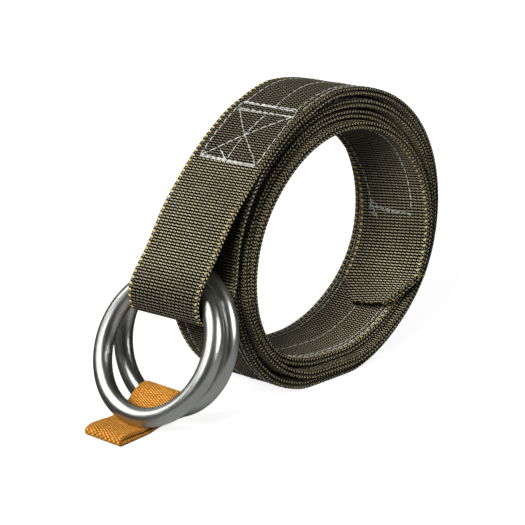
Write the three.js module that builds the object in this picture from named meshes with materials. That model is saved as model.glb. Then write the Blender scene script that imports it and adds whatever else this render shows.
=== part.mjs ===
import * as THREE from "three";

// A webbing belt with two rings, rolled up.
// One long strip of webbing lies double, its two plies stitched together. Doubled, it coils
// into a roll that stands on its outer turn, leaves the roll at the top and hangs down on
// the left. There the plies part into a loop that passes through two plain round rings.
// A short pull tab of narrow webbing is looped round the foot of the inner ring.
// Millimetres, Z up, the roll's axis along Y, the floor at Z = 0 and the rings towards -X.

// Belt webbing
const BELT_WIDTH = 38;
const PLY = 1.6;
const PLY_GAP = 0.35; // air between the two plies
const PLY_OFFSET = (PLY + PLY_GAP) / 2; // from the belt's middle surface to each ply's own
const EDGE_ROUND = 0.5; // how far a woven edge is rounded off

// The roll
const ROLL_X = -1.3;
const ROLL_HEIGHT = 51; // axis above the floor
const TIP_ANGLE = -36.8; // degrees from +X, where the inner end of the belt lies
const TIP_LEAD_IN = { angle: -45, radius: 40 }; // carries the innermost curve past the tip
const ROLL_STEPS = 161; // stations along the roll, about 7.5 degrees each
const TIP_OUT_OF_SQUARE = { skew: -0.086, tip: -0.144 }; // its far corner reaches a little further
const COLUMN_ANGLE = 45;

// The end's corners are cut off on a slant: how far each side reaches from the belt's middle
// line at the last stations, the very end first.
const TIP = [
  { near: 10, far: 6.5 },
  { near: 13, far: 14 },
  { near: 16, far: 19 },
];

// Radius of the belt's middle surface, innermost turn first: a row for each turn, with a value
// every 45 degrees from the right-hand side over the top.
const TURNS = [
  {
    right: 55.5, upRight: 63, top: 61.8, upLeft: 53.8,
    left: 47.3, lowLeft: 44.5, foot: 41.5, lowRight: 47.2,
  },
  {
    right: 59.7, upRight: 67.2, top: 66, upLeft: 57.9,
    left: 51.4, lowLeft: 48.7, foot: 46.5, lowRight: 51.4,
  },
  {
    right: 63.9, upRight: 72.2, top: 70.5, upLeft: 62,
    left: 55.5, lowLeft: 54.5, foot: 50.5, lowRight: 55.6,
  },
  { right: 68, upRight: 77.5, top: 76.5 },
];

// Each turn is pressed flat where it lies on the floor or on the turn below it.
const TURN_RISE = 3.98;
const FLAT_BLEND = 0.8;

// How far the belt's middle line has wandered along the roll's axis, turn by turn
const WANDER = [
  { angle: -45, y: -6.5 },
  { angle: -30, y: -6.5 },
  { angle: 60, y: -3.5 },
  { angle: 150, y: 1 },
  { angle: 240, y: 5.5 },
  { angle: 330, y: 2 },
  { angle: 420, y: 1.5 },
  { angle: 510, y: 3 },
  { angle: 600, y: 1.5 },
  { angle: 690, y: -1 },
  { angle: 780, y: 0 },
  { angle: 870, y: 5 },
  { angle: 960, y: 3 },
  { angle: 1050, y: 2 },
  { angle: 1170, y: -0.5 },
];

// The belt's width direction is (skew, 1, tip). It is the same all round the roll.
const ROLL_SKEW = -0.068;

// Middle surface of the doubled belt from the top of the roll down to its last stitched bar
const HANG = [
  { x: -23.6, y: -0.3, z: 120.2, skew: -0.077, tip: -0.009 },
  { x: -38.9, y: -1.6, z: 111.4, skew: -0.083, tip: -0.015 },
  { x: -48.8, y: -1.9, z: 103.2, skew: -0.086, tip: -0.018 },
];

// Middle surface of the single ply from that bar round the rings and back up to it
const LOOP = [
  { x: -54.6, y: -2, z: 98.6, skew: -0.088, tip: -0.02 },
  { x: -65.8, y: -2.3, z: 86.3, skew: -0.078, tip: -0.024 },
  { x: -75.1, y: -2, z: 71.8, skew: -0.055, tip: -0.028 },
  { x: -83.3, y: -1.4, z: 59.2, skew: -0.07, tip: -0.026 },
  { x: -84.6, y: -1, z: 52, skew: -0.08, tip: -0.02 },
  { x: -82.5, y: -0.8, z: 46.3, skew: -0.08, tip: -0.015 },
  { x: -77, y: -0.2, z: 44.6, skew: -0.075, tip: -0.01 },
  { x: -70, y: 1.2, z: 43.5, skew: -0.07, tip: -0.01 },
  { x: -63.6, y: 1.9, z: 46.6, skew: -0.065, tip: -0.01 },
  { x: -60.8, y: 1.8, z: 55, skew: -0.06, tip: -0.005 },
  { x: -59.6, y: 1.6, z: 64.5, skew: -0.06, tip: 0 },
  { x: -59, y: 0.8, z: 74, skew: -0.062, tip: 0 },
  { x: -56.8, y: -0.4, z: 84, skew: -0.068, tip: -0.005 },
  { x: -52.8, y: -1.4, z: 94.6, skew: -0.078, tip: -0.012 },
];
const HANG_SPACING = 4;
const LOOP_SPACING = 3;

// Rings: welded wire, 50 mm inside
const RING_INSIDE = 50;
const WIRE = 8;
const RING_SIDES = 64;
const WIRE_SIDES = 14;
const RING_FRONT = { x: -87.35, y: 0.1, z: 33.9, lean: 28, yaw: 2.2 };
const RING_BACK = { x: -73.8, y: 4, z: 33.6, lean: 16.6, yaw: 3.2 };

// Pull tab: its lower layer lies on the floor and its upper layer passes over the foot of the
// inner ring and under the foot of the outer one.
const TAB_WIDTH = 20;
const TAB_THICK = 1.5;
const TAB_SPACING = 2.2;
const TAB_SKEW = -0.05;
const TAB = [
  { x: -112.4, y: 3.6, z: 0.75 },
  { x: -104, y: 4.3, z: 0.75 },
  { x: -96, y: 5.1, z: 0.75 },
  { x: -88, y: 5.8, z: 0.75 },
  { x: -81.5, y: 6.2, z: 0.75 },
  { x: -77.2, y: 6, z: 2.2 },
  { x: -75.5, y: 5.5, z: 6.5 },
  { x: -77.2, y: 4.8, z: 11.1 },
  { x: -81, y: 4.5, z: 13.2 },
  { x: -85.6, y: 4.4, z: 12 },
  { x: -89.6, y: 4.5, z: 8.5 },
  { x: -93.6, y: 4.4, z: 5.5 },
  { x: -97, y: 4.3, z: 3.8 },
  { x: -100.9, y: 4.2, z: 3.15 },
  { x: -106.4, y: 3.9, z: 3.2 },
  { x: -111.8, y: 3.6, z: 3.15 },
  { x: -113.6, y: 3.6, z: 1.9 },
];

// Value at x of the smooth curve through the points (xs, ys), with xs rising
function through(xs, ys, x) {
  const last = xs.length - 1;
  let i = 0;
  while (i < last - 1 && xs[i + 1] <= x) i += 1;
  const slope = (k) => {
    const a = Math.max(k - 1, 0);
    const b = Math.min(k + 1, last);
    return (ys[b] - ys[a]) / (xs[b] - xs[a]);
  };
  const h = xs[i + 1] - xs[i];
  const t = (x - xs[i]) / h;
  const rise = 3 * t * t - 2 * t * t * t;
  const leave = t * t * t - 2 * t * t + t;
  const arrive = t * t * t - t * t;
  return ys[i] * (1 - rise) + ys[i + 1] * rise + h * (slope(i) * leave + slope(i + 1) * arrive);
}

// Knots about `spacing` apart on the smooth curve through `knots`, from its knot `first` to
// its knot `last`. Every column of the rows is carried along.
function along(knots, spacing, first, last) {
  const apart = (p, q) => Math.hypot(p.x - q.x, p.y - q.y, p.z - q.z);
  const at = [0];
  for (let k = 1; k < knots.length; k += 1) {
    at.push(at[k - 1] + Math.sqrt(apart(knots[k], knots[k - 1])));
  }
  const columns = Object.keys(knots[0]);
  const curve = (s) =>
    Object.fromEntries(columns.map((name) => [name, through(at, knots.map((row) => row[name]), s)]));
  const fine = 400;
  const params = [at[first]];
  const run = [0];
  let point = curve(at[first]);
  for (let k = 1; k <= fine; k += 1) {
    const next = at[first] + ((at[last] - at[first]) * k) / fine;
    const reached = curve(next);
    params.push(next);
    run.push(run[k - 1] + apart(point, reached));
    point = reached;
  }
  const steps = Math.round(run[fine] / spacing);
  const course = [];
  for (let step = 0; step <= steps; step += 1) {
    const s = through(run, params, (run[fine] * step) / steps);
    course.push(curve(s));
  }
  return course;
}

// z, held up at `floor` with a short blend
function restOn(floor, z) {
  const over = z - floor;
  if (over <= -FLAT_BLEND) return floor;
  if (over >= FLAT_BLEND) return z;
  return floor + (over + FLAT_BLEND) ** 2 / (4 * FLAT_BLEND);
}

const radii = [TIP_LEAD_IN.radius, ...TURNS.flatMap((turn) => Object.values(turn))];
const radiusAngles = radii.map((_, k) => TIP_LEAD_IN.angle + COLUMN_ANGLE * k);
const LAST_ANGLE = radiusAngles[radii.length - 1];

// Middle surface of the roll at an angle that counts on from turn to turn
function rollPoint(angle) {
  const radius = through(radiusAngles, radii, angle);
  const turn = Math.min(Math.floor((angle - TIP_LEAD_IN.angle) / 360), 2);
  const floor = PLY_OFFSET + PLY / 2 + TURN_RISE * (2 - turn);
  const turned = THREE.MathUtils.degToRad(angle);
  return {
    x: ROLL_X + radius * Math.cos(turned),
    y: through(WANDER.map((row) => row.angle), WANDER.map((row) => row.y), angle),
    z: restOn(floor, ROLL_HEIGHT + radius * Math.sin(turned)),
    skew: ROLL_SKEW,
    tip: 0,
  };
}

// Stations of a strip: its centre, its width direction, and its outward normal from the run
// of the centres. A closed run has no ends.
function stations(knots, closed = false) {
  const count = knots.length;
  const centres = knots.map((knot) => new THREE.Vector3(knot.x, knot.y, knot.z));
  return knots.map((knot, k) => {
    const before = closed ? centres[(k + count - 1) % count] : centres[Math.max(k - 1, 0)];
    const after = closed ? centres[(k + 1) % count] : centres[Math.min(k + 1, count - 1)];
    const across = new THREE.Vector3(knot.skew, 1, knot.tip).normalize();
    const out = across.clone().cross(after.clone().sub(before)).normalize();
    return { knot, centre: centres[k], across, out };
  });
}

// The knots moved along the normals of their stations: outwards, or inwards and in reverse
function plyOf(middle, side) {
  const ply = middle.map(({ knot, centre, out }) => {
    const moved = centre.clone().addScaledVector(out, side * PLY_OFFSET);
    return { ...knot, x: moved.x, y: moved.y, z: moved.z };
  });
  return side > 0 ? ply : ply.reverse();
}

// A solid strip through its stations, `thick` thick, with rounded edges. sidesAt(k) says how
// far it reaches to its near and its far side.
function strip(course, thick, sidesAt, closed = false) {
  const positions = [];
  const index = [];
  const flat = thick / 2;
  const waist = Math.max(flat - EDGE_ROUND, flat * 0.4);
  course.forEach((station, k) => {
    const { near, far } = sidesAt(k);
    const outline = [
      [far - EDGE_ROUND, -flat],
      [far, -waist],
      [far, waist],
      [far - EDGE_ROUND, flat],
      [EDGE_ROUND - near, flat],
      [-near, waist],
      [-near, -waist],
      [EDGE_ROUND - near, -flat],
    ];
    for (const [across, out] of outline) {
      const corner = station.centre.clone();
      corner.addScaledVector(station.across, across).addScaledVector(station.out, out);
      positions.push(corner.x, corner.y, corner.z);
    }
  });
  const corners = 8;
  const spans = closed ? course.length : course.length - 1;
  for (let k = 0; k < spans; k += 1) {
    const here = k * corners;
    const next = ((k + 1) % course.length) * corners;
    for (let c = 0; c < corners; c += 1) {
      const d = (c + 1) % corners;
      index.push(here + c, next + c, here + d);
      index.push(here + d, next + c, next + d);
    }
  }
  if (!closed) {
    const end = (course.length - 1) * corners;
    for (let c = 1; c < corners - 1; c += 1) {
      index.push(0, c, c + 1);
      index.push(end, end + c + 1, end + c);
    }
  }
  const geometry = new THREE.BufferGeometry();
  geometry.setAttribute("position", new THREE.Float32BufferAttribute(positions, 3));
  geometry.setIndex(index);
  geometry.computeVertexNormals();
  return geometry;
}

// The whole belt as one strip: the outer ply from the tip to the bar, the loop through the
// rings, and the inner ply from the bar back to the tip
function beltCourse() {
  const roll = [];
  for (let k = 0; k <= ROLL_STEPS; k += 1) {
    const knot = rollPoint(THREE.MathUtils.lerp(TIP_ANGLE, LAST_ANGLE, k / ROLL_STEPS));
    const share = Math.max(1 - k / TIP.length, 0);
    knot.skew += TIP_OUT_OF_SQUARE.skew * share;
    knot.tip += TIP_OUT_OF_SQUARE.tip * share;
    roll.push(knot);
  }
  const hangKnots = [rollPoint(LAST_ANGLE - 20), rollPoint(LAST_ANGLE), ...HANG, LOOP[0]];
  const hang = along(hangKnots, HANG_SPACING, 1, hangKnots.length - 2);
  const middle = stations([...roll, ...hang.slice(1)]);
  const outer = plyOf(middle, 1);
  const inner = plyOf(middle, -1);
  const loopKnots = [...outer.slice(-2), ...LOOP, ...inner.slice(0, 2)];
  const loop = along(loopKnots, LOOP_SPACING, 1, loopKnots.length - 2);
  return stations([...outer, ...loop.slice(1, -1), ...inner]);
}

// Reach of the belt to its two sides, slanted in towards both of its ends
function beltSides(count) {
  const full = { near: BELT_WIDTH / 2, far: BELT_WIDTH / 2 };
  return (k) => TIP[Math.min(k, count - 1 - k)] ?? full;
}

// A round ring whose top leans towards the roll
function ring(place) {
  const lean = THREE.MathUtils.degToRad(place.lean);
  const yaw = THREE.MathUtils.degToRad(place.yaw);
  const sideways = new THREE.Vector3(Math.sin(yaw), -Math.cos(yaw), 0);
  const upwards = new THREE.Vector3(
    Math.cos(yaw) * Math.sin(lean),
    Math.sin(yaw) * Math.sin(lean),
    Math.cos(lean),
  );
  const axis = sideways.clone().cross(upwards);
  const turn = new THREE.Matrix4().makeBasis(sideways, upwards, axis);
  const geometry = new THREE.TorusGeometry((RING_INSIDE + WIRE) / 2, WIRE / 2, WIRE_SIDES, RING_SIDES);
  geometry.applyMatrix4(turn.setPosition(place.x, place.y, place.z));
  return geometry;
}

function pullTab() {
  const lap = 2;
  const rows = TAB.map((row) => ({ ...row, skew: TAB_SKEW, tip: 0 }));
  const wrapped = [...rows.slice(-lap), ...rows, ...rows.slice(0, lap + 1)];
  const course = along(wrapped, TAB_SPACING, lap, wrapped.length - 1 - lap).slice(0, -1);
  for (const knot of course) knot.z = Math.max(knot.z, TAB_THICK / 2);
  const sides = { near: TAB_WIDTH / 2, far: TAB_WIDTH / 2 };
  return strip(stations(course, true), TAB_THICK, () => sides, true);
}

function piece(name, geometry, look) {
  const mesh = new THREE.Mesh(geometry, new THREE.MeshStandardMaterial(look));
  mesh.name = name;
  return mesh;
}

const OLIVE = { color: "#5f5a49", roughness: 0.9, metalness: 0 };
const STEEL = { color: "#b9bab8", roughness: 0.28, metalness: 1 };
const ORANGE = { color: "#d18e3e", roughness: 0.85, metalness: 0 };

const course = beltCourse();
const belt = strip(course, PLY, beltSides(course.length));

const group = new THREE.Group();
group.name = "ring_belt";
group.add(piece("webbing", belt, OLIVE));
group.add(piece("ring_front", ring(RING_FRONT), STEEL));
group.add(piece("ring_back", ring(RING_BACK), { ...STEEL }));
group.add(piece("pull_tab", pullTab(), ORANGE));

export default group;
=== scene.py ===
# %% [markdown]
# # A rolled webbing belt with two steel rings
#
# The belt is one long strip of heavy olive webbing. It lies double, its two plies stitched
# together, and it is rolled up. At the free end the two plies part into a sewn loop that
# holds two welded rings, and a short orange tab of narrow webbing is looped round the foot
# of the inner ring.
#
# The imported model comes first. It is the fixed frame that every piece is built in, in
# metres, so a shape that is worked out here lands in its place with no fitting.

import bpy
import numpy as np
from mathutils import Matrix, Vector


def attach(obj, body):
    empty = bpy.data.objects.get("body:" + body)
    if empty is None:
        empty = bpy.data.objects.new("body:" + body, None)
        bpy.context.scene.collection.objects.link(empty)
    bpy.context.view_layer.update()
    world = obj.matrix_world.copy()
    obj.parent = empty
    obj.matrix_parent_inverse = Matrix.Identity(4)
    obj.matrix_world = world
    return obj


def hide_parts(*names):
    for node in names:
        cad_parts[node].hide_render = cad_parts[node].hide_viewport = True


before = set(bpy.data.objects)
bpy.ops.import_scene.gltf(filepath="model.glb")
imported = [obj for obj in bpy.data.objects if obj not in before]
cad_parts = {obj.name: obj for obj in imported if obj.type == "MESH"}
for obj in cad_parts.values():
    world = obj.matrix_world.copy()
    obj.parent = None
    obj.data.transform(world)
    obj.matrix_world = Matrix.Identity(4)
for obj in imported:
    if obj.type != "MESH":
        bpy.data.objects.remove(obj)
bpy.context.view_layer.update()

print("nodes:", sorted(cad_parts))

# %% [markdown]
# ## The camera
#
# A product picture is taken from well away with a long lens, so that the near side isn't
# blown up. The camera's three axes are worked out from its heading and its pitch: right,
# up, and back towards the camera. A tracking constraint could aim it, but the axes leave
# nothing to chance.

# %% The camera
HEADING = np.radians(46.05)  # from +Y towards +X
PITCH = np.radians(16.73)  # down
DISTANCE = 0.72748
AIM_RIGHT = -0.018226  # of the origin, along the picture's width
AIM_HEIGHT = 0.050354
LENS = 114.42

ahead = Vector((
    np.sin(HEADING) * np.cos(PITCH), np.cos(HEADING) * np.cos(PITCH), -np.sin(PITCH)
))
right = Vector((np.cos(HEADING), -np.sin(HEADING), 0.0))
upward = right.cross(ahead)

lens = bpy.data.cameras.new("camera")
lens.lens = LENS
lens.sensor_width = 36.0
camera = bpy.data.objects.new("camera", lens)
bpy.context.scene.collection.objects.link(camera)
camera.matrix_world = Matrix.Translation(
    right * AIM_RIGHT + Vector((0, 0, AIM_HEIGHT)) - ahead * DISTANCE
) @ Matrix((right, upward, -ahead)).transposed().to_4x4()
bpy.context.scene.camera = camera
print("camera at", [round(v, 3) for v in camera.matrix_world.translation])

# %% [markdown]
# ## Smooth curves through a few points
#
# A strap's course is easiest to give as a short table of points, as a maker would pin it
# out on a board. A smooth curve then runs through them. The slope at each point is taken
# from its two neighbours, and between two points the curve is the cubic that has those
# slopes. Blender's own Bezier curves could do it, but a formula can also carry the strap's
# twist along, and gives thousands of stations at once.

# %% Smooth curves
def through(xs, ys, x):
    """Rows of ys carried smoothly from xs to x. Between two rows it is the cubic with the
    two values and the two slopes, where a slope is the rise from the row before to the row
    after, over the same run."""
    last = len(xs) - 1
    i = np.clip(np.searchsorted(xs, x, side="right") - 1, 0, last - 1)
    before = np.maximum(np.arange(last + 1) - 1, 0)
    after = np.minimum(np.arange(last + 1) + 1, last)
    slope = (ys[after] - ys[before]) / (xs[after] - xs[before])[:, None]
    h = (xs[i + 1] - xs[i])[:, None]
    t = (x - xs[i])[:, None] / h
    rise = 3 * t**2 - 2 * t**3
    leave = t**3 - 2 * t**2 + t
    arrive = t**3 - t**2
    return ys[i] * (1 - rise) + ys[i + 1] * rise + h * (slope[i] * leave + slope[i + 1] * arrive)


def run_of(rows):
    """Length run so far at each row: the sum of the steps between points, from nought."""
    steps = np.linalg.norm(np.diff(rows[:, :3], axis=0), axis=1)
    return np.concatenate([[0.0], np.cumsum(steps)])


def rows_at(rows, distances):
    """The rows at given lengths along a course, each column read off in a straight line
    between its neighbours."""
    run = run_of(rows)
    return np.stack([np.interp(distances, run, column) for column in rows.T], -1)


def evenly(rows, spacing):
    """The same course with its rows an even spacing apart."""
    length = run_of(rows)[-1]
    return rows_at(rows, np.linspace(0, length, max(int(round(length / spacing)), 1) + 1))


def along(knots, spacing, first, last):
    """Even rows on the smooth curve through the knots, from knot `first` to knot `last`.
    The curve's parameter grows by the square root of each step, which keeps it from
    overshooting where long and short steps meet."""
    steps = np.linalg.norm(np.diff(knots[:, :3], axis=0), axis=1)
    at = np.concatenate([[0.0], np.cumsum(np.sqrt(steps))])
    return evenly(through(at, knots, np.linspace(at[first], at[last], 6001)), spacing)


# %% [markdown]
# ## The belt's course
#
# Each row of a course holds x, y, z, how far the strip's width is skewed towards x and
# tipped towards z, and how near it is to the cut tip. The roll is a spiral whose radius is
# given eight times a turn, because a hand-rolled belt is never round: it sags, and it lies
# flat on the floor and on its own turns below. A spiral formula alone would look machined.

# %% The sizes of the belt and its roll, in millimetres
BELT_WIDTH = 38.0
PLY = 1.6
PLY_OFFSET = (PLY + 0.35) / 2  # from the belt's middle surface to each ply's own
ROLL_X = -1.3
ROLL_HEIGHT = 51.0
TIP_ANGLE = -36.8  # degrees round the roll, where it begins
TIP_TAPER = 22.5  # degrees of turn that the slanted end takes up
TIP = np.array([  # nearness to the very end, reach to the near side, reach to the far side
    [0, 19, 19], [1 / 3, 16, 19], [2 / 3, 13, 14], [1, 10, 6.5],
])
LAST_ANGLE = 1170.0  # where the belt leaves the roll

LEAD_ANGLE = -45.0  # of the first radius
RADII = np.array([  # every 45 degrees, a turn to a row
    40.0,
    55.5, 63.0, 61.8, 53.8, 47.3, 44.5, 41.5, 47.2,
    59.7, 67.2, 66.0, 57.9, 51.4, 48.7, 46.5, 51.4,
    63.9, 72.2, 70.5, 62.0, 55.5, 54.5, 50.5, 55.6,
    68.0, 77.5, 76.5,
])
WANDER = np.array([  # angle, and how far back the turn lies there
    [-45, -6.5], [-30, -6.5], [60, -3.5], [150, 1], [240, 5.5], [330, 2], [420, 1.5],
    [510, 3], [600, 1.5], [690, -1], [780, 0], [870, 5], [960, 3], [1050, 2], [1170, -0.5],
])
TURN_RISE = 3.98  # from one turn's floor to the floor of the turn inside it
FLAT_BLEND = 0.8  # half the height over which a turn bends onto its floor
SKEW, TIP_SKEW, TIP_TILT = -0.068, -0.086, -0.144  # of the width, and added to it at the tip

HANG = np.array([  # from the roll down to where the plies part
    [-23.6, -0.3, 120.2, -0.077, -0.009, 0],
    [-38.9, -1.6, 111.4, -0.083, -0.015, 0],
    [-48.8, -1.9, 103.2, -0.086, -0.018, 0],
])
LOOP = np.array([  # round both rings and back
    [-54.6, -2.0, 98.6, -0.088, -0.020, 0],
    [-65.8, -2.3, 86.3, -0.078, -0.024, 0],
    [-75.1, -2.0, 71.8, -0.055, -0.028, 0],
    [-83.3, -1.4, 59.2, -0.070, -0.026, 0],
    [-84.6, -1.0, 52.0, -0.080, -0.020, 0],
    [-82.5, -0.8, 46.3, -0.080, -0.015, 0],
    [-77.0, -0.2, 44.6, -0.075, -0.010, 0],
    [-70.0, 1.2, 43.5, -0.070, -0.010, 0],
    [-63.6, 1.9, 46.6, -0.065, -0.010, 0],
    [-60.8, 1.8, 55.0, -0.060, -0.005, 0],
    [-59.6, 1.6, 64.5, -0.060, 0.000, 0],
    [-59.0, 0.8, 74.0, -0.062, 0.000, 0],
    [-56.8, -0.4, 84.0, -0.068, -0.005, 0],
    [-52.8, -1.4, 94.6, -0.078, -0.012, 0],
])


# %% The course of the roll
def roll_rows(angle):
    """Middle surface of the roll. x and z go round a circle of changing radius, y wanders,
    and z is held up at each turn's floor with a short parabola for a blend."""
    radius = through(LEAD_ANGLE + 45.0 * np.arange(len(RADII)), RADII[:, None], angle)[:, 0]
    turn = np.minimum(np.floor((angle - LEAD_ANGLE) / 360), 2)
    floor = PLY_OFFSET + PLY / 2 + TURN_RISE * (2 - turn)
    z = ROLL_HEIGHT + radius * np.sin(np.radians(angle))
    over = np.clip(z - floor, -FLAT_BLEND, FLAT_BLEND) + FLAT_BLEND
    z = np.where(z > floor + FLAT_BLEND, z, floor + over**2 / (4 * FLAT_BLEND))
    tip = np.clip(1 - (angle - TIP_ANGLE) / TIP_TAPER, 0, 1)
    return np.stack([
        ROLL_X + radius * np.cos(np.radians(angle)),
        through(WANDER[:, 0], WANDER[:, 1:], angle)[:, 0],
        z,
        SKEW + TIP_SKEW * tip,
        TIP_TILT * tip,
        tip,
    ], 1)


def directions(rows, closed=False):
    """At each row, the unit width direction (skew, 1, tip), and the outward normal, which
    is the width direction crossed with the way ahead."""
    points = rows[:, :3]
    if closed:
        ahead = np.roll(points, -1, 0) - np.roll(points, 1, 0)
    else:
        ahead = np.gradient(points, axis=0)
    across = np.stack([rows[:, 3], np.ones(len(rows)), rows[:, 4]], 1)
    across /= np.linalg.norm(across, axis=1)[:, None]
    out = np.cross(across, ahead)
    return across, out / np.linalg.norm(out, axis=1)[:, None]


# %% The course of the whole strip: outer ply, loop round the rings, inner ply
def pressed(rows):
    """How thick the cloth still is at each row: 1, but less at the melted, flattened tip."""
    return np.interp(rows[:, 5], [0.55, 1.0], [1.0, 0.5])


def moved(rows, distance):
    """The course moved by a distance along its own outward normals, and less at the tip."""
    shifted = rows.copy()
    shifted[:, :3] += distance * pressed(rows)[:, None] * directions(rows)[1]
    return shifted


RIB = 1.285  # one weft yarn of the belt
STEP = RIB / 3  # between two stations of the strip
roll = roll_rows(np.arange(TIP_ANGLE, LAST_ANGLE + 0.01, 0.25))
hang_knots = np.concatenate([roll_rows(np.array([LAST_ANGLE - 20, LAST_ANGLE])), HANG, LOOP[:1]])
hang = along(hang_knots, STEP, 1, len(hang_knots) - 2)
middle = np.concatenate([roll, hang[1:]])
outer = moved(middle, PLY_OFFSET)
inner = moved(middle, -PLY_OFFSET)[::-1]
PARTS_AT = run_of(outer)[-1]  # where the two plies part, along the outer ply from its tip
INNER_PLY = run_of(inner)[-1]  # shorter, as it turns inside the outer one
loop_knots = np.concatenate([
    rows_at(outer, [PARTS_AT - 4]), outer[-1:], LOOP, inner[:1], rows_at(inner, [4])
])
loop = along(loop_knots, STEP, 1, len(loop_knots) - 2)
belt_rows = evenly(np.concatenate([outer, loop[1:-1], inner]), STEP)
BELT_LENGTH = run_of(belt_rows)[-1]
print(f"the strip is {BELT_LENGTH / 1000:.2f} m long and its plies part at {PARTS_AT:.0f} mm")

# %% [markdown]
# ## Webbing as a surface
#
# Heavy webbing is ribbed: the warp yarns rise over each weft yarn, and the edges, where the
# weft turns back, are a chain of small bumps. The strip is a closed profile carried along
# the course. The ribs could all be painted on with a bump map, but then the outline stays
# a knife-cut line, so the surface itself goes up and down once per weft yarn. The belt's
# yarns, which are finer still, are left to its material.
#
# Each corner of each face gets two numbers in the UV map, both in millimetres: how far
# along the strip it lies and how far across. The weave in the material is laid out on
# them, so it follows every bend without stretching.

# %% Helpers that turn arrays into a mesh
MM = 0.001


def add_piece(name, points, faces):
    """A smooth-shaded mesh object from points in millimetres and lists of corners."""
    mesh = bpy.data.meshes.new(name)
    mesh.from_pydata((np.asarray(points) * MM).tolist(), [], faces)
    mesh.shade_smooth()
    mesh.update()
    piece = bpy.data.objects.new(name, mesh)
    bpy.context.scene.collection.objects.link(piece)
    return piece


def add_weave_map(piece, corners):
    """Writes the numbers that the weave is laid out on, two for each corner of each face."""
    layer = piece.data.uv_layers.new(name="weave")
    layer.uv.foreach_set("vector", np.asarray(corners, np.float32).ravel())


def tube_faces(stations, sides, closed):
    """Quads between neighbouring profiles of a tube. The profile runs anticlockwise as seen
    from ahead, and corners go: this profile, the next one, back along it, back to this."""
    k = np.arange(stations if closed else stations - 1)[:, None]
    c = np.arange(sides)[None, :]
    here, there = k * sides, (k + 1) % stations * sides
    d = (c + 1) % sides
    return np.stack([here + c, there + c, there + d, here + d], -1)


# %% A woven strip
EDGE_ROUND = 0.45  # how far a rounded edge stands out
EDGE_TURNS = np.radians([-52.0, 0.0, 52.0])  # its points, as angles round half an ellipse
EDGE_MAP = 1.9  # millimetres of weave that the map lays over a rounded edge


def woven_strip(name, rows, reach, thick, stops, bump, relief, rib, curl=0.0, closed=False):
    """A closed profile of two faces and two rounded edges, carried along the course. A face
    lies relief * (1 - bump(s, u)) below the full thickness, where s is the length along
    the strip and u the distance across it; the underside is half a rib on. An edge is half
    an ellipse between the two faces, and it goes in and out with the ribs. `reach` is how
    far the strip reaches at each row to its near and its far side. `curl` moves the edges
    out, and the rest by curl times the square of u over the reach."""
    across, out = directions(rows, closed)
    s = run_of(rows)
    step = s[1] - s[0]
    near, far = (np.broadcast_to(side, s.shape)[:, None] - EDGE_ROUND for side in reach)
    thick, curl = (np.broadcast_to(value, s.shape)[:, None] for value in (thick, curl))
    u = far * (1 + stops) / 2 - near * (1 - stops) / 2
    high = thick / 2 - relief * (1 - bump(s[:, None], u))
    low = relief * (1 - bump(s[:, None] + rib / 2, u)) - thick / 2
    swell = EDGE_ROUND - 0.8 * relief * (1 - np.cos(2 * np.pi * s / rib)) / 2
    turn = EDGE_TURNS[None, :]
    bulge = swell[:, None] * np.cos(turn)
    far_edge, near_edge = (
        (high[:, side] + low[:, side]) / 2 + (high[:, side] - low[:, side]) / 2 * np.sin(turn)
        for side in ([-1], [0])
    )
    wide = np.concatenate([u, far + bulge, u[:, ::-1], (-near - bulge)[:, ::-1]], 1)
    tall = np.concatenate([low, far_edge, high[:, ::-1], near_edge[:, ::-1]], 1)
    tall = tall + curl * (wide / (near + EDGE_ROUND)) ** 2
    points = rows[:, None, :3] + across[:, None] * wide[..., None] + out[:, None] * tall[..., None]
    sides = wide.shape[1]
    faces = tube_faces(len(rows), sides, closed)
    ends = [] if closed else [
        list(range(sides)), list(range(len(rows) * sides - 1, (len(rows) - 1) * sides - 1, -1))
    ]
    piece = add_piece(name, points.reshape(-1, 3), faces.reshape(-1, 4).tolist() + ends)

    stop_count, spans = len(stops), faces.shape[0]
    k = np.arange(spans)
    after = (k + 1) % len(rows)
    corner_s = np.stack([s[k], s[k] + step, s[k] + step, s[k]], 1)[:, None, :]
    corner_s = np.repeat(corner_s, sides, 1)
    corner_s[:, : stop_count - 1] += rib / 2
    near_by = np.concatenate([wide, wide[:, :1]], 1)
    corner_u = np.stack([
        near_by[k, :-1], near_by[after, :-1], near_by[after, 1:], near_by[k, 1:]
    ], -1)
    edge_spans = len(EDGE_TURNS) + 1
    ramp = far.max() + EDGE_MAP * np.arange(edge_spans + 1) / edge_spans
    for first, sign in ((stop_count - 1, 1), (2 * stop_count + len(EDGE_TURNS) - 1, -1)):
        for j in range(edge_spans):
            corner_u[:, first + j] = sign * ramp[[j, j, j + 1, j + 1]]
    corners = np.stack([corner_s, corner_u], -1).reshape(-1, 2)
    if not closed:
        caps = np.full((2 * sides, 2), [0.26 * rib, 0.0])
        corners = np.concatenate([corners, caps])
    add_weave_map(piece, corners)
    triangles = sum(len(p.vertices) - 2 for p in piece.data.polygons)
    print(f"{name}: {s[-1]:.0f} mm long, {triangles} triangles")
    return piece


# %% The belt's strip
LOOSE_FROM = BELT_LENGTH - 150  # from here to the end the weave has spread
LOOSE_STRETCH = 0.10  # how much farther apart its rows lie
LOOSE_SKEW = 0.12  # how much they run askew, per millimetre across


def ribs(s, u):
    """A wave along the strip, one crest to a weft yarn, the same all the way across. It
    flattens out at the loose end, where the yarns have spread and lie askew."""
    flat = np.clip((s - LOOSE_FROM + 20) / 20, 0, 1)
    wave = (1 + np.cos(2 * np.pi * s / RIB)) / 2
    return wave + (1 - wave) * flat + 0 * u


belt_reach = [np.interp(belt_rows[:, 5], TIP[:, 0], TIP[:, side]) for side in (1, 2)]
belt_webbing = woven_strip(
    "belt_webbing", belt_rows, belt_reach, PLY * pressed(belt_rows),
    np.array([-1.0, -0.4, 0.4, 1.0]), ribs, relief=0.16, rib=RIB,
)

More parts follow.
